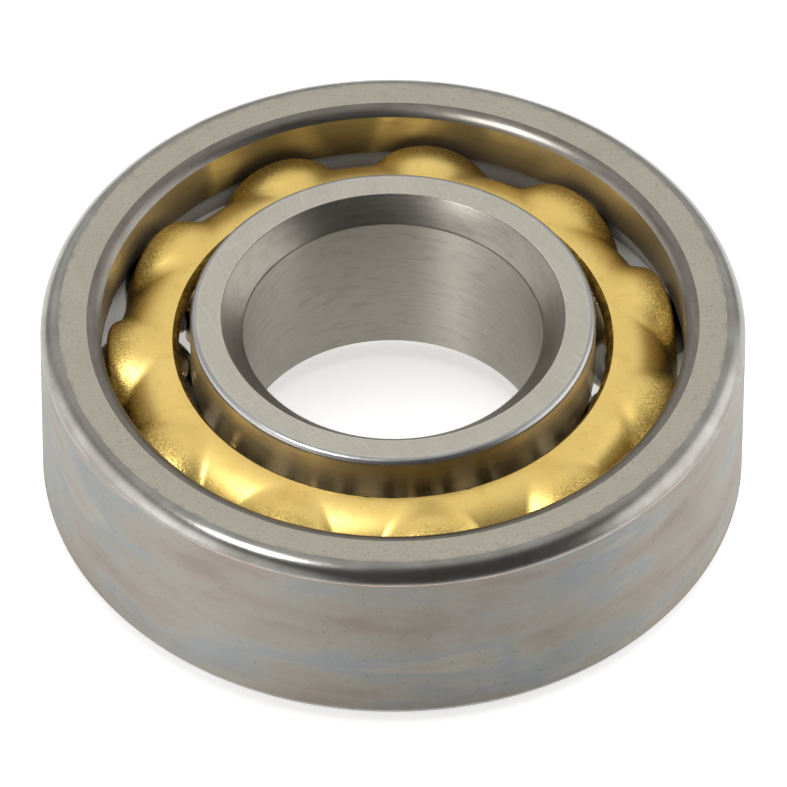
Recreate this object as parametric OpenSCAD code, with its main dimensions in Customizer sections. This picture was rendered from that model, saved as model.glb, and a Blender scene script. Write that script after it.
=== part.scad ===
// Separable (shoulder type) deep groove ball bearing with a one-piece pressed brass cage.
// Millimetres. +Z is the bearing axis. The origin is the centre of the outer ring's lower face.
// The outer ring has one groove shoulder, on top. Its lower side is open, so it lifts off the rest.

/* [Bearing size] */
// bore of the inner ring
bore_d = 20; // [18:0.5:21]
// outside diameter of the outer ring
outer_d = 47; // [46:0.5:50]
// width of each ring
ring_w = 14; // [13:0.5:16]
// how far the inner ring stands above the outer ring
stand_out = 0.25; // [0:0.05:0.5]

/* [Balls] */
// ball diameter (5/16 inch)
ball_d = 7.938; // [7.9:0.002:7.96]
// diameter of the circle through the ball centres
pitch_d = 33.4; // [33.2:0.1:33.6]
// radial gap between a ball and each groove bottom
ball_gap = 0.03; // [0.02:0.01:0.05]
// groove radius as a share of the ball diameter
groove_ratio = 0.52; // [0.515:0.005:0.53]
// direction of the first ball seen from above, in degrees from +X
first_ball = 82.3; // [0:0.1:360]

/* [Outer ring] */
// bore of the shoulder land
land_d = 39; // [38.8:0.02:39.4]
// radius of the arc across the land's upper edge
land_edge_r = 1.5; // [1.4:0.05:2]
// radial depth of the land's upper edge
land_edge_depth = 0.9; // [0.7:0.05:0.9]
// axial height of the land's upper edge
land_edge_h = 0.5; // [0.4:0.05:0.6]
// radius of the arc across the outside corners
corner_r = 1.6; // [1.5:0.05:3]
// radial depth of the outside corners
corner_depth = 1.25; // [0.9:0.05:1.25]
// axial height of the outside corners
corner_h = 1.07; // [0.9:0.01:1.1]
// chamfer at the open side
open_chamfer = 0.6; // [0.3:0.1:1]

/* [Inner ring] */
// diameter over both shoulders
shoulder_d = 27; // [26.6:0.1:27.4]
// rounding of the shoulder edges
shoulder_round = 0.4; // [0.2:0.05:0.6]
// radial size of the bore chamfers
bore_chamfer_r = 1.44; // [0.8:0.02:1.6]
// axial size of the bore chamfers
bore_chamfer_z = 1.4; // [0.8:0.05:1.6]

/* [Cage] */
// thickness of the brass sheet
sheet_t = 0.8; // [0.6:0.05:0.8]
// clearance between a ball and its pocket
pocket_gap = 0.08; // [0.06:0.01:0.1]
// inner diameter of the cage at its top
cage_in_d = 29.4; // [29:0.1:29.6]
// how much the sheared inner edge leans inwards through the sheet
edge_lean = 0.38; // [0:0.02:0.5]
// outer diameter of the cage
cage_out_d = 38.3; // [38:0.1:38.5]
// radius of the round fall of the sheet between the pockets
fall_r = 4.6; // [4.4:0.1:4.7]
// how far above the ball centres that round fall is centred
fall_rise = 0.25; // [0.1:0.05:0.35]
// how far the sheet between the pockets stays inside the cage's outer diameter
fall_inset = 0.15; // [0.1:0.05:0.3]
// height of the pocket rims above the ball centres
rim_h = 0.75; // [0.5:0.05:1]
// width of the fingers that hold the balls
finger_w = 3.6; // [3:0.1:3.8]
// reach of the fingers below the ball centres
finger_drop = 1.5; // [1:0.1:2]

/* [Hidden] */
$fn = 96;
ball_count = 11;
ball_step = 360 / ball_count;
ball_z = ring_w / 2 + stand_out;
pitch_r = pitch_d / 2;
groove_r = ball_d * groove_ratio;
outer_groove_r = pitch_r + ball_d / 2 + ball_gap;
inner_groove_r = pitch_r - ball_d / 2 - ball_gap;
pocket_r = ball_d / 2 + pocket_gap;
dome_r = pocket_r + sheet_t;
cage_top = ball_z + dome_r;
cage_bottom = ball_z - finger_drop;
dome_rim_z = ball_z + rim_h;
sheet_rim_z = dome_rim_z - sheet_t / 4;
steel = [0.66, 0.65, 0.62];
ball_steel = [0.8, 0.8, 0.8];
brass = [0.8, 0.65, 0.36];

// ---- shared shapes ----

// the waste of a rounded corner: a square corner less a disc, pointing to +X +Y
module corner_waste(r) {
    difference() {
        square(r + 1);
        circle(r);
    }
}

// the waste of a corner at the origin, cut back by a shallow arc that leaves an edge at each end
module edge_waste(depth, height, r) {
    chord = norm([depth, height]);
    reach = sqrt(pow(r, 2) - pow(chord / 2, 2));
    translate([-depth / 2 - reach * height / chord, -height / 2 - reach * depth / chord])
        corner_waste(r);
}

// places its children at the centre of one ball, counted from zero
module at_ball(i) {
    rotate(first_ball + i * ball_step)
        translate([pitch_r, 0, ball_z])
            children();
}

// ---- outer ring ----

module outer_ring_profile() {
    difference() {
        translate([land_d / 2, 0])
            square([outer_d / 2 - land_d / 2, ring_w]);
        // ball groove
        translate([outer_groove_r - groove_r, ball_z])
            circle(groove_r);
        // open side below the groove
        square([outer_groove_r, ball_z]);
        polygon([
            [outer_groove_r - 1, -1],
            [outer_groove_r + open_chamfer + 1, -1],
            [outer_groove_r - 1, open_chamfer + 1]
        ]);
        // upper edge of the land
        translate([land_d / 2, ring_w])
            mirror([1, 0])
                edge_waste(land_edge_depth, land_edge_h, land_edge_r);
        // outside corners
        for (low = [0, 1])
            translate([outer_d / 2, low ? 0 : ring_w])
                mirror([0, low])
                    edge_waste(corner_depth, corner_h, corner_r);
    }
}

module outer_ring() {
    color(steel)
        rotate_extrude()
            outer_ring_profile();
}

// ---- inner ring ----

module inner_ring_end_waste() {
    polygon([
        [bore_d / 2 - 1, ring_w - bore_chamfer_z - bore_chamfer_z / bore_chamfer_r],
        [bore_d / 2 + bore_chamfer_r + 1, ring_w + bore_chamfer_z / bore_chamfer_r],
        [bore_d / 2 - 1, ring_w + bore_chamfer_z / bore_chamfer_r]
    ]);
    translate([shoulder_d / 2 - shoulder_round, ring_w - shoulder_round])
        corner_waste(shoulder_round);
}

module inner_ring_profile() {
    difference() {
        translate([bore_d / 2, 0])
            square([(shoulder_d - bore_d) / 2, ring_w]);
        translate([inner_groove_r + groove_r, ring_w / 2])
            circle(groove_r);
        inner_ring_end_waste();
        translate([0, ring_w])
            mirror([0, 1])
                inner_ring_end_waste();
    }
}

module inner_ring() {
    color(steel)
        translate([0, 0, stand_out])
            rotate_extrude()
                inner_ring_profile();
}

// ---- cage ----

// ring whose round outside is the sheet's surface between the pockets, drawn in by t
module fall(t) {
    rotate_extrude()
        translate([cage_out_d / 2 - fall_inset - fall_r, ball_z + fall_rise])
            circle(fall_r - t);
}

// everything the sheet between the pockets may fill: a band, and the fingers below it
module sheet_limit() {
    translate([0, 0, sheet_rim_z])
        cylinder(h = dome_r, d = cage_out_d);
    for (i = [0 : ball_count - 1])
        rotate(first_ball + (i + 0.5) * ball_step)
            translate([pitch_r, -finger_w / 2, cage_bottom])
                cube([cage_out_d / 2 - pitch_r - fall_inset / 2, finger_w, dome_r]);
}

// outside of the pressed sheet, with the domes over the balls
module cage_outside() {
    intersection() {
        fall(0);
        sheet_limit();
    }
    intersection() {
        for (i = [0 : ball_count - 1])
            at_ball(i)
                sphere(dome_r);
        translate([0, 0, dome_rim_z])
            cylinder(h = dome_r, d = cage_out_d);
    }
}

// the leaning inner edge, and the space inside it
module inner_edge_waste() {
    cylinder(h = 2 * ring_w, r = cage_in_d / 2 - edge_lean);
    translate([0, 0, cage_top - sheet_t])
        cylinder(h = 2 * sheet_t, r1 = cage_in_d / 2 - edge_lean, r2 = cage_in_d / 2 + edge_lean);
}

module cage() {
    color(brass)
        difference() {
            cage_outside();
            fall(sheet_t);
            for (i = [0 : ball_count - 1])
                at_ball(i)
                    sphere(pocket_r);
            inner_edge_waste();
        }
}

// ---- balls ----

module ball(i) {
    color(ball_steel)
        at_ball(i)
            sphere(d = ball_d);
}

module ball_01() { ball(0); }
module ball_02() { ball(1); }
module ball_03() { ball(2); }
module ball_04() { ball(3); }
module ball_05() { ball(4); }
module ball_06() { ball(5); }
module ball_07() { ball(6); }
module ball_08() { ball(7); }
module ball_09() { ball(8); }
module ball_10() { ball(9); }
module ball_11() { ball(10); }

outer_ring();
inner_ring();
cage();
ball_01();
ball_02();
ball_03();
ball_04();
ball_05();
ball_06();
ball_07();
ball_08();
ball_09();
ball_10();
ball_11();
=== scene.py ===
import math
import bmesh
import bpy
import numpy as np
from mathutils import Matrix, Vector

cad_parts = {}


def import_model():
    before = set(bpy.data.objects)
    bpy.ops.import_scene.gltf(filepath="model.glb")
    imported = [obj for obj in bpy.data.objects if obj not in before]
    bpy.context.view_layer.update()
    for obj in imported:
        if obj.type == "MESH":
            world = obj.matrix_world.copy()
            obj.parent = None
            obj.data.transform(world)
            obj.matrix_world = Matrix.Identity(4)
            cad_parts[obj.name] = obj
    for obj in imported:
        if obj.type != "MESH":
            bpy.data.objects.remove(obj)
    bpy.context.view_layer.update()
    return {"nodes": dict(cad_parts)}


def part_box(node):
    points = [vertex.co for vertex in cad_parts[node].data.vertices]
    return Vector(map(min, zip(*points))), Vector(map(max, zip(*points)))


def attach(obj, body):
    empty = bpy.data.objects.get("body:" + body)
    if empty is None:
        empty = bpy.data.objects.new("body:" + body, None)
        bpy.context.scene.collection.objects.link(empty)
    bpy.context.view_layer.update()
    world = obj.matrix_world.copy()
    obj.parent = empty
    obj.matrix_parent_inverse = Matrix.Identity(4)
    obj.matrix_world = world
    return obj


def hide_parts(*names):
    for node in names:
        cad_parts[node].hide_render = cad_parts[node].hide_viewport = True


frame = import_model()
nodes = frame["nodes"]
scene = bpy.context.scene
MM = 0.001


# ---- sizes, in millimetres, from the frame ----

def span(node):
    lo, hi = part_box(node)
    return [c / MM for c in lo], [c / MM for c in hi]


balls = sorted(n for n in nodes if n.startswith("ball_"))
(OUT_X0, _, OUT_Z0), (_, _, OUT_Z1) = span("outer_ring")
OUT_R = -OUT_X0
(_, _, IN_Z0), (IN_R, _, IN_Z1) = span("inner_ring")
(_, _, CAGE_Z0), (CAGE_R, _, CAGE_Z1) = span("cage")
first_lo, first_hi = span(balls[0])
BALL = [(a + b) / 2 for a, b in zip(first_lo, first_hi)]
BALL_R = (first_hi[2] - first_lo[2]) / 2
BALL_Z = BALL[2]
PITCH_R = math.hypot(BALL[0], BALL[1])
BALL_A = math.atan2(BALL[1], BALL[0])
COUNT = len(balls)
POCKET_GAP = 0.08
SHEET = CAGE_Z1 - BALL_Z - BALL_R - POCKET_GAP
BORE_R = 10.0


# ---- material helper ----

class Mat:
    """A node material. Every method returns an output socket."""

    def __init__(self, name, metallic=1.0):
        self.mat = bpy.data.materials.new(name)
        self.mat.use_nodes = True
        self.tree = self.mat.node_tree
        self.bsdf = self.tree.nodes["Principled BSDF"]
        self.bsdf.inputs["Metallic"].default_value = metallic
        coord = self.tree.nodes.new("ShaderNodeTexCoord").outputs["Object"]
        scaled = self.vec("SCALE", coord, scale=1 / MM)
        self.p = scaled
        split = self.tree.nodes.new("ShaderNodeSeparateXYZ")
        self.link(scaled, split.inputs[0])
        self.x, self.y, self.z = split.outputs
        self.r = self.math("SQRT", self.add(self.mul(self.x, self.x), self.mul(self.y, self.y)))

    def link(self, a, b):
        self.tree.links.new(a, b)

    def put(self, socket, value):
        if isinstance(value, bpy.types.NodeSocket):
            self.link(value, socket)
        elif isinstance(value, (tuple, list)) and len(value) == 3 and len(socket.default_value) == 4:
            socket.default_value = (*value, 1)
        else:
            socket.default_value = value

    def math(self, op, a, b=None):
        n = self.tree.nodes.new("ShaderNodeMath")
        n.operation = op
        for s, v in zip(n.inputs, (a, b)):
            if v is not None:
                self.put(s, v)
        return n.outputs[0]

    def vec(self, op, a, b=None, scale=None):
        n = self.tree.nodes.new("ShaderNodeVectorMath")
        n.operation = op
        self.put(n.inputs[0], a)
        if b is not None:
            self.put(n.inputs[1], b)
        if scale is not None:
            n.inputs["Scale"].default_value = scale
        return n.outputs[1] if op == "LENGTH" else n.outputs[0]

    def join(self, x, y, z):
        n = self.tree.nodes.new("ShaderNodeCombineXYZ")
        for s, v in zip(n.inputs, (x, y, z)):
            self.put(s, v)
        return n.outputs[0]

    def noise(self, where, scale, detail=3.0, rough=0.55, distort=0.0):
        n = self.tree.nodes.new("ShaderNodeTexNoise")
        self.put(n.inputs["Vector"], where)
        n.inputs["Scale"].default_value = scale
        n.inputs["Detail"].default_value = detail
        n.inputs["Roughness"].default_value = rough
        n.inputs["Distortion"].default_value = distort
        return n.outputs[0]

    def cells(self, where, scale):
        n = self.tree.nodes.new("ShaderNodeTexVoronoi")
        self.put(n.inputs["Vector"], where)
        n.inputs["Scale"].default_value = scale
        return n.outputs["Distance"]

    def step(self, value, lo, hi, a=0.0, b=1.0):
        """Runs smoothly from a at lo to b at hi."""
        n = self.tree.nodes.new("ShaderNodeMapRange")
        n.interpolation_type = "SMOOTHSTEP"
        if lo > hi:
            lo, hi, a, b = hi, lo, b, a
        for s, v in zip(n.inputs, (value, lo, hi, a, b)):
            self.put(s, v)
        return n.outputs[0]

    def near(self, value, centre, width):
        """1 at centre, falling to 0 at width to either side."""
        off = self.math("ABSOLUTE", self.math("SUBTRACT", value, centre))
        return self.step(off, 0.0, width, 1.0, 0.0)

    def mul(self, *v):
        out = v[0]
        for k in v[1:]:
            out = self.math("MULTIPLY", out, k)
        return out

    def add(self, *v):
        out = v[0]
        for k in v[1:]:
            out = self.math("ADD", out, k)
        return out

    def mix(self, fac, a, b):
        """Mixes two colours, or two numbers."""
        n = self.tree.nodes.new("ShaderNodeMix")
        colour = any(isinstance(v, tuple) or getattr(v, "type", "") == "RGBA" for v in (a, b))
        n.data_type = "RGBA" if colour else "FLOAT"
        at = (6, 7, 2) if colour else (2, 3, 0)
        self.put(n.inputs[0], fac)
        self.put(n.inputs[at[0]], a)
        self.put(n.inputs[at[1]], b)
        return n.outputs[at[2]]

    def ramp(self, fac, *stops):
        n = self.tree.nodes.new("ShaderNodeValToRGB")
        self.put(n.inputs[0], fac)
        e = n.color_ramp.elements
        while len(e) < len(stops):
            e.new(0.5)
        for el, (pos, col) in zip(e, stops):
            el.position, el.color = pos, (*col, 1)
        return n.outputs[0]

    def bump(self, height, distance):
        """Relief, distance in millimetres."""
        n = self.tree.nodes.new("ShaderNodeBump")
        n.inputs["Strength"].default_value = 1.0
        n.inputs["Distance"].default_value = distance * MM
        self.put(n.inputs["Height"], height)
        self.link(n.outputs[0], self.bsdf.inputs["Normal"])

    def finish(self, colour, rough):
        self.put(self.bsdf.inputs["Base Color"], colour)
        self.put(self.bsdf.inputs["Roughness"], rough)
        return self.mat


def streaks(m, along, across, height=None):
    """Noise coordinates for fine lines round the axis, with no seam. They are spread by radius or height."""
    k = m.r if height is None else height
    return m.join(m.mul(m.x, along), m.mul(m.y, along), m.mul(k, across))


def brushed_round(m, amount):
    """Fine circumferential grinding spreads reflections along the axis."""
    n = m.tree.nodes.new("ShaderNodeTangent")
    n.direction_type, n.axis = "RADIAL", "Z"
    m.link(n.outputs[0], m.bsdf.inputs["Tangent"])
    m.bsdf.inputs["Anisotropic"].default_value = amount
    m.bsdf.inputs["Anisotropic Rotation"].default_value = 0.25


# ---- ring sizes that the boxes don't give, in millimetres ----

GROOVE_R = BALL_R * 2 * 0.52
LAND_R = 19.5
RACE_GAP = 0.03
OPEN_R = PITCH_R + BALL_R + RACE_GAP
OPEN_CHAMFER = 0.6
CORNER_DEPTH, CORNER_H, CORNER_R = 1.25, 1.07, 1.6
LAND_EDGE_DEPTH, LAND_EDGE_H, LAND_EDGE_R = 0.9, 0.5, 1.5
INNER_EDGE_R = 0.4
MOUTH_R, MOUTH_H = BORE_R + 1.44, 1.4
BREAK = 0.05
AROUND = 420


# ---- steels ----

def outer_face():
    """Ground face of the outer ring: warm grey, mottled, with dark specks."""
    m = Mat("outer_ring_ground_face")
    blotch = m.noise(m.p, 0.35, 4, 0.6)
    grit = m.noise(m.p, 5.0, 4, 0.7)
    specks = m.step(m.noise(m.p, 4.2, 2, 0.5), 0.58, 0.76)
    smudge = m.step(m.noise(streaks(m, 0.5, 1.4), 1.0, 4, 0.65), 0.56, 0.74)
    col = m.mix(blotch, (0.41, 0.385, 0.315), (0.50, 0.475, 0.405))
    col = m.mix(m.mul(m.step(grit, 0.35, 0.75), 0.4), col, (0.31, 0.29, 0.24))
    col = m.mix(m.mul(smudge, 0.35), col, (0.27, 0.25, 0.215))
    col = m.mix(m.mul(specks, 0.4), col, (0.20, 0.185, 0.15))
    rim = m.mul(m.near(m.r, 22.2, 0.25), m.step(m.noise(m.p, 1.3, 3), 0.4, 0.62))
    col = m.mix(m.mul(rim, 0.5), col, (0.24, 0.23, 0.21))
    lines = m.noise(streaks(m, 0.05, 9.0), 1.0, 3)
    m.bump(m.add(m.mul(grit, 0.6), m.mul(lines, 0.5), m.mul(specks, -0.8)), 0.006)
    return m.finish(col, m.add(0.27, m.mul(grit, 0.18)))


def outer_corner():
    """Turned corner left as hardened: smooth and dark, pinkish where the ground outside begins."""
    m = Mat("outer_ring_corner")
    stain = m.noise(m.p, 0.45, 3, 0.55)
    grit = m.noise(m.p, 3.0, 4, 0.7)
    col = m.mix(m.step(stain, 0.30, 0.72), (0.25, 0.24, 0.22), (0.31, 0.305, 0.29))
    col = m.mix(m.mul(m.step(grit, 0.52, 0.75), 0.15), col, (0.15, 0.145, 0.13))
    warm = m.mul(m.near(m.z, OUT_Z1 - CORNER_H, 0.1), m.step(m.noise(m.p, 0.4, 3), 0.35, 0.6))
    col = m.mix(m.mul(warm, 0.8), col, (0.62, 0.42, 0.34))
    lines = m.noise(streaks(m, 0.3, 5.0), 1.0, 3)
    m.bump(m.add(m.mul(grit, 0.5), m.mul(lines, 0.4)), 0.002)
    return m.finish(col, m.add(0.17, m.mul(grit, 0.12)))


def outer_side():
    """Ground outside under an oil film: blue grey and pinkish brown clouds drawn out round the ring."""
    m = Mat("outer_ring_side")
    flow = m.join(m.mul(m.x, 0.045), m.mul(m.y, 0.045), m.mul(m.z, 0.2))
    film = m.noise(flow, 1.5, 4, 0.5, 0.3)
    col = m.ramp(film, (0.30, (0.235, 0.20, 0.175)), (0.42, (0.285, 0.255, 0.225)),
                 (0.50, (0.29, 0.28, 0.25)), (0.57, (0.255, 0.27, 0.275)),
                 (0.64, (0.32, 0.305, 0.27)), (0.74, (0.285, 0.255, 0.225)))
    fine = m.noise(streaks(m, 0.25, 14.0, m.z), 1.0, 3, 0.6)
    grit = m.noise(m.p, 3.5, 4, 0.7)
    col = m.mix(m.mul(m.step(fine, 0.5, 0.8), 0.22), col, (0.22, 0.205, 0.185))
    col = m.mix(m.mul(m.step(grit, 0.55, 0.75), 0.3), col, (0.20, 0.19, 0.17))
    low = m.mul(m.step(m.z, 5.0, 0.5), m.step(m.noise(flow, 3.0, 3), 0.35, 0.6))
    col = m.mix(m.mul(low, 0.45), col, (0.22, 0.18, 0.145))
    pits = m.step(m.noise(m.p, 3.4, 1), 0.66, 0.78)
    col = m.mix(m.mul(pits, 0.4), col, (0.13, 0.115, 0.1))
    m.bump(m.add(m.mul(fine, 0.6), m.mul(grit, 0.4), m.mul(pits, -1.0)), 0.005)
    brushed_round(m, 0.85)
    return m.finish(col, m.add(0.38, m.mul(m.noise(m.p, 0.4, 3), 0.12), m.mul(grit, 0.07)))


def polished(name, tint, rough, spread):
    """Lapped running surface."""
    m = Mat(name)
    race = m.noise(streaks(m, 0.15, 4.0, m.z), 1.0, 4, 0.6)
    dull = m.noise(m.p, 0.5, 3)
    col = m.mix(race, tuple(c * 0.86 for c in tint), tint)
    col = m.mix(m.mul(m.step(dull, 0.45, 0.7), 0.25), col, tuple(c * 0.7 for c in tint))
    m.bump(m.noise(streaks(m, 0.3, 18.0, m.z), 1.0, 3), 0.0015)
    brushed_round(m, spread)
    return m.finish(col, m.add(rough, m.mul(race, 0.07), m.mul(dull, 0.05)))


def inner_face():
    """Face of the inner ring: bright, with fine arcs and dashes left by the grinding wheel."""
    m = Mat("inner_ring_ground_face")
    wheel = m.vec("LENGTH", m.vec("SUBTRACT", m.join(m.x, m.y, 0.0), (38.0, 21.0, 0.0)))
    arcs = m.noise(m.join(m.mul(wheel, 9.0), m.mul(m.x, 0.12), m.mul(m.y, 0.12)), 1.0, 3, 0.6)
    other = m.vec("LENGTH", m.vec("SUBTRACT", m.join(m.x, m.y, 0.0), (-30.0, 34.0, 0.0)))
    cross = m.noise(m.join(m.mul(other, 5.0), m.mul(m.x, 0.22), m.mul(m.y, 0.22)), 1.0, 2)
    rare = m.step(cross, 0.62, 0.74)
    grit = m.noise(m.p, 4.5, 4, 0.7)
    blotch = m.noise(m.p, 0.4, 3)
    col = m.mix(arcs, (0.45, 0.43, 0.365), (0.57, 0.55, 0.485))
    col = m.mix(m.mul(m.step(blotch, 0.4, 0.7), 0.22), col, (0.40, 0.375, 0.31))
    col = m.mix(m.mul(m.step(grit, 0.5, 0.8), 0.35), col, (0.33, 0.31, 0.27))
    dashes = m.noise(m.join(m.mul(wheel, 14.0), m.mul(m.x, 0.7), m.mul(m.y, 0.7)), 1.0, 2, 0.6)
    col = m.mix(m.mul(m.step(dashes, 0.58, 0.72), 0.3), col, (0.78, 0.76, 0.70))
    col = m.mix(m.mul(rare, 0.2), col, (0.78, 0.76, 0.70))
    rims = m.math("MAXIMUM", m.near(m.r, 11.5, 0.12), m.near(m.r, 13.08, 0.1))
    col = m.mix(m.mul(rims, m.step(m.noise(m.p, 1.2, 3), 0.35, 0.6), 0.45), col, (0.72, 0.70, 0.64))
    m.bump(m.add(m.mul(arcs, 0.9), m.mul(grit, 0.35), m.mul(rare, -0.3)), 0.006)
    return m.finish(col, m.add(0.27, m.mul(arcs, 0.12)))


def turned(name, dark, light, rough, spread):
    """Plain turned or honed steel with lines round the axis."""
    m = Mat(name)
    brush = m.noise(streaks(m, 0.3, 7.0, m.z), 1.0, 4, 0.65)
    coarse = m.noise(streaks(m, 0.6, 2.0, m.z), 1.0, 3, 0.6)
    grit = m.noise(m.p, 2.2, 4, 0.7)
    col = m.mix(brush, dark, light)
    col = m.mix(m.mul(m.step(coarse, 0.45, 0.7), 0.3), col, tuple(c * 0.75 for c in dark))
    col = m.mix(m.mul(m.step(grit, 0.55, 0.75), 0.25), col, tuple(c * 0.6 for c in dark))
    brushed_round(m, spread)
    m.bump(m.add(brush, m.mul(grit, 0.4)), 0.004)
    return m.finish(col, m.add(rough, m.mul(brush, 0.1), m.mul(grit, 0.06)))


# ---- balls ----

def ball_steel():
    """Mirror polished, with a few dull rolling marks."""
    m = Mat("ball_steel")
    haze = m.noise(m.p, 0.5, 4, 0.6)
    lay = m.join(m.mul(m.x, 2.0), m.mul(m.y, 0.3), m.mul(m.z, 2.0))
    marks = m.step(m.noise(lay, 1.5, 3, 0.7), 0.60, 0.72)
    col = m.mix(haze, (0.68, 0.67, 0.65), (0.80, 0.79, 0.77))
    rough = m.add(0.04, m.mul(haze, 0.05), m.mul(marks, 0.12))
    m.bump(m.add(m.mul(marks, 0.5), m.mul(m.noise(m.p, 9.0, 2), 0.2)), 0.002)
    return m.finish(col, rough)


# ---- brass ----

def brass():
    """Pressed and tumbled brass: satin and finely peened, with grainy painted shade darkening its outer
    slope.
    """
    m = Mat("cage_brass")
    slope = m.step(m.r, 15.8, 18.0)
    peen = m.cells(m.p, 5.5)
    fine = m.noise(m.p, 9.0, 3, 0.65)
    tint = m.noise(m.p, 0.28, 4, 0.55)
    stain = m.step(m.noise(m.p, 0.9, 4, 0.65), 0.52, 0.72)
    col = m.mix(tint, (0.78, 0.55, 0.15), (0.89, 0.68, 0.25))
    col = m.mix(m.mul(stain, 0.35), col, (0.66, 0.42, 0.10))
    flecks = m.step(m.noise(m.p, 3.2, 3, 0.6), 0.6, 0.75)
    col = m.mix(m.mul(flecks, 0.4), col, (0.55, 0.34, 0.08))
    grain = m.noise(m.p, 6.5, 3, 0.7)
    # painted shade: the outer slope of the lobes is darkened to olive where it turns away from the light,
    # broken up by grain
    painted_slope_shade = m.mul(m.step(m.r, 16.6, 18.3), m.step(grain, 0.66, 0.40))
    col = m.mix(m.mul(painted_slope_shade, 0.75), col, (0.30, 0.205, 0.045))
    rough = m.add(0.34, m.mul(fine, 0.14))
    dents = m.mul(slope, m.step(peen, 0.0, 0.5), 0.8)
    m.bump(m.add(dents, m.mul(fine, 0.6)), 0.010)
    return m.finish(col, rough)


def sheared_brass():
    """The rough inner edge left by the shears."""
    m = Mat("cage_sheared_edge")
    cut = m.noise(streaks(m, 1.6, 2.2, m.z), 1.0, 4, 0.7)
    tear = m.noise(m.p, 3.0, 4, 0.75)
    col = m.mix(m.step(cut, 0.35, 0.75), (0.16, 0.10, 0.02), (0.50, 0.34, 0.08))
    m.bump(m.add(cut, tear), 0.06)
    return m.finish(col, m.add(0.4, m.mul(tear, 0.2)))


BALLS = ball_steel()
BRASS = brass()
CUT_BRASS = sheared_brass()
FACE_O, CORNER, SIDE = outer_face(), outer_corner(), outer_side()
# painted shade: the outer groove's very dark tint stands in for the shade under the cage, not the steel's own
# colour
RACE_O_PAINTED_SHADE = polished("outer_ring_groove_painted_shade", (0.14, 0.122, 0.10), 0.24, 0.7)
# painted reflection: the land's warm brown tint is the brass cage's reflection painted onto grey steel
LAND_O_PAINTED_REFLECTION = turned("outer_ring_land", (0.33, 0.29, 0.22), (0.46, 0.41, 0.32), 0.28, 0.7)
EDGE_O = turned("outer_ring_land_edge", (0.13, 0.12, 0.10), (0.25, 0.235, 0.215), 0.24, 0.1)
OPEN_SIDE = turned("outer_ring_open_side", (0.34, 0.33, 0.30), (0.46, 0.445, 0.41), 0.3, 0.6)
FACE_I = inner_face()
EDGE_I = turned("inner_ring_corner", (0.30, 0.305, 0.31), (0.46, 0.46, 0.46), 0.24, 0.1)
CHAMFER = turned("inner_ring_chamfer", (0.18, 0.168, 0.142), (0.28, 0.265, 0.232), 0.28, 0.4)
BORE = turned("inner_ring_bore", (0.38, 0.355, 0.31), (0.51, 0.485, 0.43), 0.38, 0.95)
# painted reflection: the shoulder's gold-brown colour is the brass cage's reflection painted onto the steel
SHOULDER_PAINTED_REFLECTION = turned("inner_ring_shoulder_painted_reflection", (0.44, 0.35, 0.19), (0.58, 0.47, 0.27), 0.29, 0.85)
RACE_I = polished("inner_ring_groove", (0.52, 0.50, 0.455), 0.28, 0.7)
for name in balls:
    for held in nodes[name].material_slots:
        held.material = BALLS


# ---- rings, turned from their section ----

def arc(cx, cz, radius, a0, a1, steps):
    """Points on an arc from a0 to a1 degrees, both ends included."""
    return [(cx + radius * math.cos(math.radians(a0 + (a1 - a0) * i / steps)),
             cz + radius * math.sin(math.radians(a0 + (a1 - a0) * i / steps))) for i in range(steps + 1)]


def ring(name, section):
    """A ring turned from (material, points) runs that follow each other round its section."""
    points, used, kinds = [], [], []
    for material, run in section:
        if material not in kinds:
            kinds.append(material)
        for p in run[:-1]:
            points.append(p)
            used.append(kinds.index(material))
    count = len(points)
    bm = bmesh.new()
    loops = []
    for i in range(AROUND):
        a = 2 * math.pi * i / AROUND
        loops.append([bm.verts.new((r * math.cos(a) * MM, r * math.sin(a) * MM, z * MM)) for r, z in points])
    for i in range(AROUND):
        here, there = loops[i], loops[(i + 1) % AROUND]
        for j in range(count):
            k = (j + 1) % count
            face = bm.faces.new((here[j], here[k], there[k], there[j]))
            face.material_index, face.smooth = used[j], True
    bmesh.ops.recalc_face_normals(bm, faces=bm.faces)
    mesh = bpy.data.meshes.new(name)
    bm.to_mesh(mesh)
    bm.free()
    mesh.set_sharp_from_angle(angle=math.radians(18))
    for material in kinds:
        mesh.materials.append(material)
    obj = bpy.data.objects.new(name, mesh)
    scene.collection.objects.link(obj)
    return obj


def eased(points, size):
    """The middle point of three, rounded off by a small curve of about that size."""
    p, q, r = (Vector(v) for v in points)
    a, b = q + (p - q).normalized() * size, q + (r - q).normalized() * size
    return [tuple(a.lerp(q, t).lerp(q.lerp(b, t), t)) for t in (0, 1 / 3, 2 / 3, 1)]


def edge_arc(depth, height, radius, steps):
    """A shallow arc across a corner at the origin, from the face to the cylinder outside it."""
    chord = math.hypot(depth, height)
    reach = math.sqrt(radius ** 2 - chord ** 2 / 4)
    cx, cz = -depth / 2 - reach * height / chord, -height / 2 - reach * depth / chord
    return arc(cx, cz, radius, math.degrees(math.atan2(-cz, -depth - cx)),
               math.degrees(math.atan2(-height - cz, -cx)), steps)


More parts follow.
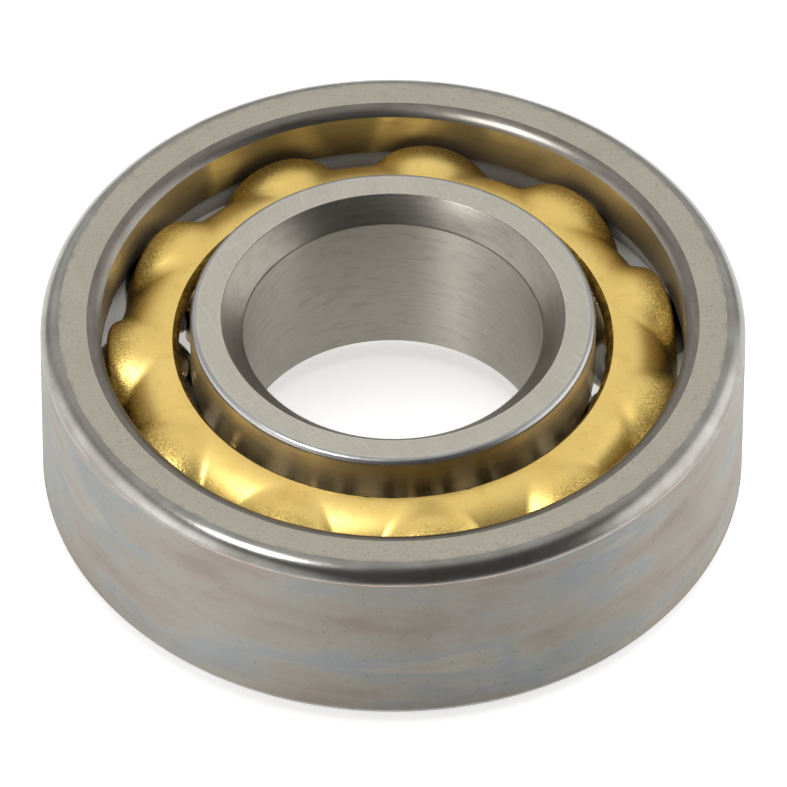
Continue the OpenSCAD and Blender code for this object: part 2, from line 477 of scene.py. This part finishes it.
def make_outer_ring():
    low, high = OUT_Z0, OUT_Z1
    cx = OPEN_R - GROOVE_R
    up = math.degrees(math.acos((LAND_R - cx) / GROOVE_R))
    corner = edge_arc(CORNER_DEPTH, CORNER_H, CORNER_R, 14)
    top = [(OUT_R + r, high + z) for r, z in corner]
    bottom = [(OUT_R + r, low - z) for r, z in reversed(corner)]
    land_edge = edge_arc(LAND_EDGE_DEPTH, LAND_EDGE_H, LAND_EDGE_R, 10)
    edge = [(LAND_R - r, high + z) for r, z in reversed(land_edge)]
    flare = (OPEN_R + OPEN_CHAMFER, low)
    step = (OPEN_R, low + OPEN_CHAMFER)
    foot = eased([bottom[-1], flare, step], BREAK)
    shelf = eased([flare, step, (OPEN_R, BALL_Z)], BREAK)
    groove = arc(cx, BALL_Z, GROOVE_R, 0, up, 22)
    lip = eased([groove[-2], groove[-1], (LAND_R, high)], BREAK)
    section = [
        (FACE_O, [edge[-1], top[0]]),
        (CORNER, top),
        (SIDE, [top[-1], (OUT_R, (low + high) / 2), bottom[0]]),
        (CORNER, bottom),
        (FACE_O, [bottom[-1], foot[0]]),
        (OPEN_SIDE, foot + shelf + [groove[0]]),
        (RACE_O_PAINTED_SHADE, groove[:-1] + [lip[0]]),
        (LAND_O_PAINTED_REFLECTION, lip + [edge[0]]),
        (EDGE_O, edge),
    ]
    return ring("outer_ring_turned", section)


def make_inner_ring():
    low, high = IN_Z0, IN_Z1
    mid = (low + high) / 2
    cx = PITCH_R - BALL_R - RACE_GAP + GROOVE_R
    side = math.acos((cx - IN_R) / GROOVE_R)
    rise = GROOVE_R * math.sin(side)
    soft = INNER_EDGE_R
    mouth_a, mouth_b = (MOUTH_R, high), (MOUTH_R, low)
    end_a, end_b = (BORE_R, high - MOUTH_H), (BORE_R, low + MOUTH_H)
    upper = arc(IN_R - soft, high - soft, soft, 90, 0, 8)
    lower = arc(IN_R - soft, low + soft, soft, 0, -90, 8)
    turn = math.degrees(side)
    groove = arc(cx, mid, GROOVE_R, 180 - turn, 180 + turn, 30)
    lip_a = eased([upper[-1], (IN_R, mid + rise), groove[2]], BREAK)
    lip_b = eased([groove[-3], (IN_R, mid - rise), lower[0]], BREAK)
    rim_a = eased([end_a, mouth_a, upper[0]], BREAK)
    rim_b = eased([lower[-1], mouth_b, end_b], BREAK)
    in_a = eased([(BORE_R, mid), end_a, mouth_a], BREAK * 2)
    in_b = eased([mouth_b, end_b, (BORE_R, mid)], BREAK * 2)
    section = [
        (FACE_I, [rim_a[-1], upper[0]]),
        (EDGE_I, upper),
        (SHOULDER_PAINTED_REFLECTION, [upper[-1]] + lip_a),
        (RACE_I, [lip_a[-1]] + groove[2:-2] + [lip_b[0]]),
        (SHOULDER_PAINTED_REFLECTION, lip_b + [lower[0]]),
        (EDGE_I, lower),
        (FACE_I, [lower[-1], rim_b[0]]),
        (CHAMFER, rim_b + [in_b[0]]),
        (BORE, in_b + [in_a[0]]),
        (CHAMFER, in_a + rim_a),
    ]
    return ring("inner_ring_turned", section)


for make, node, paint in ((make_outer_ring, "outer_ring", "outer_ring_steel"),
                          (make_inner_ring, "inner_ring", "inner_ring_steel")):
    piece = make()
    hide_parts(node)
    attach(piece, node)


# ---- pressed cage, in millimetres ----

CAGE_IN = 14.7
EDGE_LEAN = 0.36
LEAN_OUT_TO = 15.2
FALL_R, FALL_X = 4.6, 14.4
DOME_BLEND, SIDE_BLEND = 0.38, 0.5
FINGER_W, FINGER_BLEND = 3.2, 0.5
RIM_H, LOBE_H = 0.75, 1.6
FAN_R, FAN_Z = 15.0, CAGE_Z1 - 3.9
FAN_ROWS, INNER_ROWS, PER_POCKET = 56, 4, 60
SHEARED_ROWS, SHEARED_DEPTH = 5, 0.03


def smooth_max(a, b, k):
    h = np.clip(0.5 + 0.5 * (a - b) / k, 0, 1)
    return b * (1 - h) + a * h + k * h * (1 - h)


def smooth_min(a, b, k):
    return -smooth_max(-a, -b, k)


def fall_distance(angle):
    """Distance from the fan's middle to the round fall of the sheet, for rays at an angle from upright."""
    a = np.radians(np.linspace(5, 68, 400))
    r, z = FALL_X + FALL_R * np.sin(a), CAGE_Z1 - FALL_R + FALL_R * np.cos(a)
    run = np.linspace(0.05, 8, 200)
    r = np.concatenate([r, r[-1] + run * np.cos(a[-1])])
    z = np.concatenate([z, z[-1] - run * np.sin(a[-1])])
    at, dist = np.arctan2(r - FAN_R, z - FAN_Z), np.hypot(r - FAN_R, z - FAN_Z)
    order = np.argsort(at)
    return np.interp(angle, at[order], dist[order])


def fall_top(r):
    """Height of the top of the sheet near the inner edge."""
    return CAGE_Z1 - FALL_R + np.sqrt(FALL_R ** 2 - (r - FALL_X) ** 2)


def cage_sheet():
    """The outer surface of the sheet as a grid of points round the axis, from the inner edge outwards.

    In each half plane through the axis, rays fan out from a middle inside the sheet to the dome or the
    fall, whichever is further, and the points are then spaced evenly along that line."""
    dome = CAGE_Z1 - BALL_Z
    side = CAGE_R - 0.01
    around = COUNT * PER_POCKET
    pitch = 2 * math.pi / COUNT
    angle = np.linspace(0, math.pi * 0.72, 600)
    ux, uz = np.sin(angle), np.cos(angle)
    fall = fall_distance(angle)
    to_top = np.where(uz > 1e-3, (CAGE_Z1 - FAN_Z) / np.maximum(uz, 1e-3), 1e3)
    to_side = (side - FAN_R) / np.maximum(ux, 1e-3)
    inner = np.linspace(CAGE_IN, FAN_R, INNER_ROWS + 1)[:-1]
    grid = np.zeros((around, len(inner) + FAN_ROWS, 3))
    for i in range(around):
        t = BALL_A + 2 * math.pi * i / around
        off = (t - BALL_A + pitch / 2) % pitch - pitch / 2
        lat, mid = PITCH_R * math.sin(off), PITCH_R * math.cos(off)
        bx, bz = FAN_R - mid, FAN_Z - BALL_Z
        b = bx * ux + bz * uz
        d = b * b - (bx * bx + bz * bz - (dome * dome - lat * lat))
        ball = np.where((d > 0) & (abs(lat) < dome), -b + np.sqrt(np.maximum(d, 0)), -9.0)
        s = np.minimum(smooth_max(ball, fall, DOME_BLEND), to_top)
        s = smooth_min(s, to_side, SIDE_BLEND)
        r, z = FAN_R + s * ux, FAN_Z + s * uz
        past_finger = abs(off) * PITCH_R - pitch * PITCH_R / 2 + FINGER_W / 2
        finger = float(np.clip(past_finger / FINGER_BLEND + 0.5, 0, 1))
        finger = finger * finger * (3 - 2 * finger)
        lobe = 0.5 + 0.5 * math.cos(off * COUNT)
        end = (BALL_Z + RIM_H + LOBE_H * lobe) * (1 - finger) + (CAGE_Z0 + 0.02) * finger
        last = int(np.argmax(z < end)) if (z < end).any() else len(z) - 1
        r, z = r[:last + 1], z[:last + 1]
        run = np.concatenate([[0], np.cumsum(np.hypot(np.diff(r), np.diff(z)))])
        even = np.linspace(0, run[-1], FAN_ROWS)
        rise = z[0] - fall_top(FAN_R)
        rr = np.concatenate([inner, np.interp(even, run, r)])
        zz = np.concatenate([fall_top(inner) + rise, np.interp(even, run, z)])
        grid[i] = np.stack([rr * math.cos(t), rr * math.sin(t), zz], 1)
    return grid


def sheet_inside(grid):
    """The inner surface: the sheet's thickness below the outer one, with the sheared edge leaning inwards."""
    along = np.roll(grid, -1, 0) - np.roll(grid, 1, 0)
    across = np.gradient(grid, axis=1)
    normal = np.cross(along, across)
    normal /= np.linalg.norm(normal, axis=2, keepdims=True)
    normal *= np.sign(normal[:, :1, 2:3])
    under = grid - normal * SHEET
    r = np.hypot(under[..., 0], under[..., 1])
    lean = EDGE_LEAN * np.clip((LEAN_OUT_TO - r) / (LEAN_OUT_TO - CAGE_IN), 0, 1)
    under[..., :2] *= ((r - lean) / r)[..., None]
    return under


def make_cage():
    """The sheet as a closed solid: over the top, round the lip, back below and up the sheared edge."""
    top = cage_sheet()
    under = sheet_inside(top)
    around, rows, _ = top.shape
    rough = np.random.default_rng(7)
    rings = [top[:, j] for j in range(rows)]
    kinds = [0] * (rows - 1)
    lip = [top[:, -1] + (under[:, -1] - top[:, -1]) * k / 3 for k in (1, 2)]
    rings += lip + [under[:, j] for j in range(rows - 1, -1, -1)]
    kinds += [0] * 3 + [0] * (rows - 1)
    for k in range(1, SHEARED_ROWS):
        u = k / SHEARED_ROWS
        line = under[:, 0] + (top[:, 0] - under[:, 0]) * np.array([u ** 2.6, u ** 2.6, u])
        jitter = rough.normal(0, 1, around)
        jitter = (jitter + np.roll(jitter, 1) + np.roll(jitter, 2)) / 3
        out = line[:, :2] / np.hypot(line[:, 0], line[:, 1])[:, None]
        line[:, :2] += out * (jitter * SHEARED_DEPTH)[:, None]
        rings.append(line)
    kinds += [1] * SHEARED_ROWS
    points = np.stack(rings)
    count = len(rings)
    faces, marks = [], []
    for j in range(count):
        k = (j + 1) % count
        for i in range(around):
            n = (i + 1) % around
            faces.append((j * around + i, k * around + i, k * around + n, j * around + n))
            marks.append(kinds[j])
    mesh = bpy.data.meshes.new("cage_sheet")
    mesh.from_pydata((points.reshape(-1, 3) * MM).tolist(), [], faces)
    mesh.materials.append(BRASS)
    mesh.materials.append(CUT_BRASS)
    mesh.polygons.foreach_set("material_index", marks)
    mesh.polygons.foreach_set("use_smooth", [True] * len(mesh.polygons))
    bm = bmesh.new()
    bm.from_mesh(mesh)
    bmesh.ops.recalc_face_normals(bm, faces=bm.faces)
    bm.to_mesh(mesh)
    bm.free()
    mesh.set_sharp_from_angle(angle=math.radians(40))
    obj = bpy.data.objects.new("cage_sheet", mesh)
    scene.collection.objects.link(obj)
    return obj


cage = make_cage()
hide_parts("cage")
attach(cage, "cage")


# ---- floor, light and camera ----

def floor():
    """A pale sheet of paper just below the bearing."""
    mesh = bpy.data.meshes.new("floor")
    bm = bmesh.new()
    bmesh.ops.create_grid(bm, x_segments=8, y_segments=8, size=1.5)
    bm.to_mesh(mesh)
    bm.free()
    obj = bpy.data.objects.new("floor", mesh)
    obj.location.z = (OUT_Z0 - 0.02) * MM
    scene.collection.objects.link(obj)
    m = Mat("floor_paper", metallic=0.0)
    m.finish((0.9, 0.9, 0.9), 0.8)
    m.bsdf.inputs["Specular IOR Level"].default_value = 0.1
    m.bsdf.inputs["Emission Color"].default_value = (1, 1, 1, 1)
    m.bsdf.inputs["Emission Strength"].default_value = 0.58
    mesh.materials.append(m.mat)


def world():
    """A dim room with soft boxes: (direction, where it fades out, where it is full, strength)."""
    w = bpy.data.worlds.new("studio")
    scene.world = w
    w.use_nodes = True
    t = w.node_tree
    coord = t.nodes.new("ShaderNodeTexCoord").outputs["Generated"]
    total = ROOM
    for toward, fade, full, gain in SOFT_BOXES:
        dot = t.nodes.new("ShaderNodeVectorMath")
        dot.operation = "DOT_PRODUCT"
        t.links.new(coord, dot.inputs[0])
        dot.inputs[1].default_value = Vector(toward).normalized()
        ramp = t.nodes.new("ShaderNodeMapRange")
        ramp.interpolation_type = "SMOOTHSTEP"
        for s, v in zip(ramp.inputs[1:5], (fade, full, 0.0, gain)):
            s.default_value = v
        t.links.new(dot.outputs["Value"], ramp.inputs[0])
        add = t.nodes.new("ShaderNodeMath")
        add.operation = "ADD"
        t.links.new(ramp.outputs[0], add.inputs[0])
        if isinstance(total, float):
            add.inputs[1].default_value = total
        else:
            t.links.new(total, add.inputs[1])
        total = add.outputs[0]
    back = t.nodes["Background"]
    back.inputs[0].default_value = (1.0, 0.99, 0.97, 1)
    t.links.new(total, back.inputs[1])


ROOM = 0.12
SOFT_BOXES = (
    ((0.0, 0.60, 0.80), 0.50, 0.88, 0.78),
    ((-0.98, -0.10, 0.10), 0.70, 0.97, 1.9),
    ((-0.74, -0.67, 0.10), 0.80, 0.97, 0.9),
    ((0.97, 0.10, 0.20), 0.75, 0.95, 2.1),
    ((-0.72, 0.69, 0.05), 0.80, 0.97, 0.4),
    ((0.72, 0.69, 0.05), 0.80, 0.97, 0.3),
)


def lamp(name, place, size, energy, gloss):
    """A square lamp that either glints on the metal or washes over the paper."""
    light = bpy.data.lights.new(name, "AREA")
    light.size, light.energy = size, energy
    obj = bpy.data.objects.new(name, light)
    obj.location = place
    obj.rotation_euler = (-Vector(place)).to_track_quat("-Z", "Y").to_euler()
    obj.visible_diffuse, obj.visible_glossy = not gloss, gloss
    scene.collection.objects.link(obj)


def camera():
    """Looks down at the middle of the bearing from the front, a little turned about its own axes."""
    distance, elevation, roll = 883.515, math.radians(45.954), math.radians(0.27934)
    yaw, pitch = -6.226e-05, -1.4936e-04
    middle = Vector((0, 0, (OUT_Z0 + OUT_Z1) / 2)) * MM
    back = Vector((0, -math.cos(elevation), math.sin(elevation)))
    look, right = -back, Vector((1, 0, 0))
    up = right.cross(look)
    right, up = right * math.cos(roll) + up * math.sin(roll), up * math.cos(roll) - right * math.sin(roll)
    turn = Matrix.Rotation(yaw, 3, up)
    look, right = turn @ look, turn @ right
    turn = Matrix.Rotation(pitch, 3, right)
    look, up = turn @ look, turn @ up
    data = bpy.data.cameras.new("camera")
    obj = bpy.data.objects.new("camera", data)
    scene.collection.objects.link(obj)
    axes = Matrix((right, up, -look)).transposed().to_4x4()
    obj.matrix_world = Matrix.Translation(middle + back * distance * MM) @ axes
    data.sensor_width = 36
    data.lens = 604.035172
    data.clip_start, data.clip_end = 0.01, 10
    scene.camera = obj


floor()
world()
lamp("key", (-0.240, -0.140, 0.532), 0.10, 1.6, True)
lamp("wash", (0.0, 0.20, 0.66), 0.6, 2.2, False)
camera()
scene.view_settings.view_transform = "Standard"
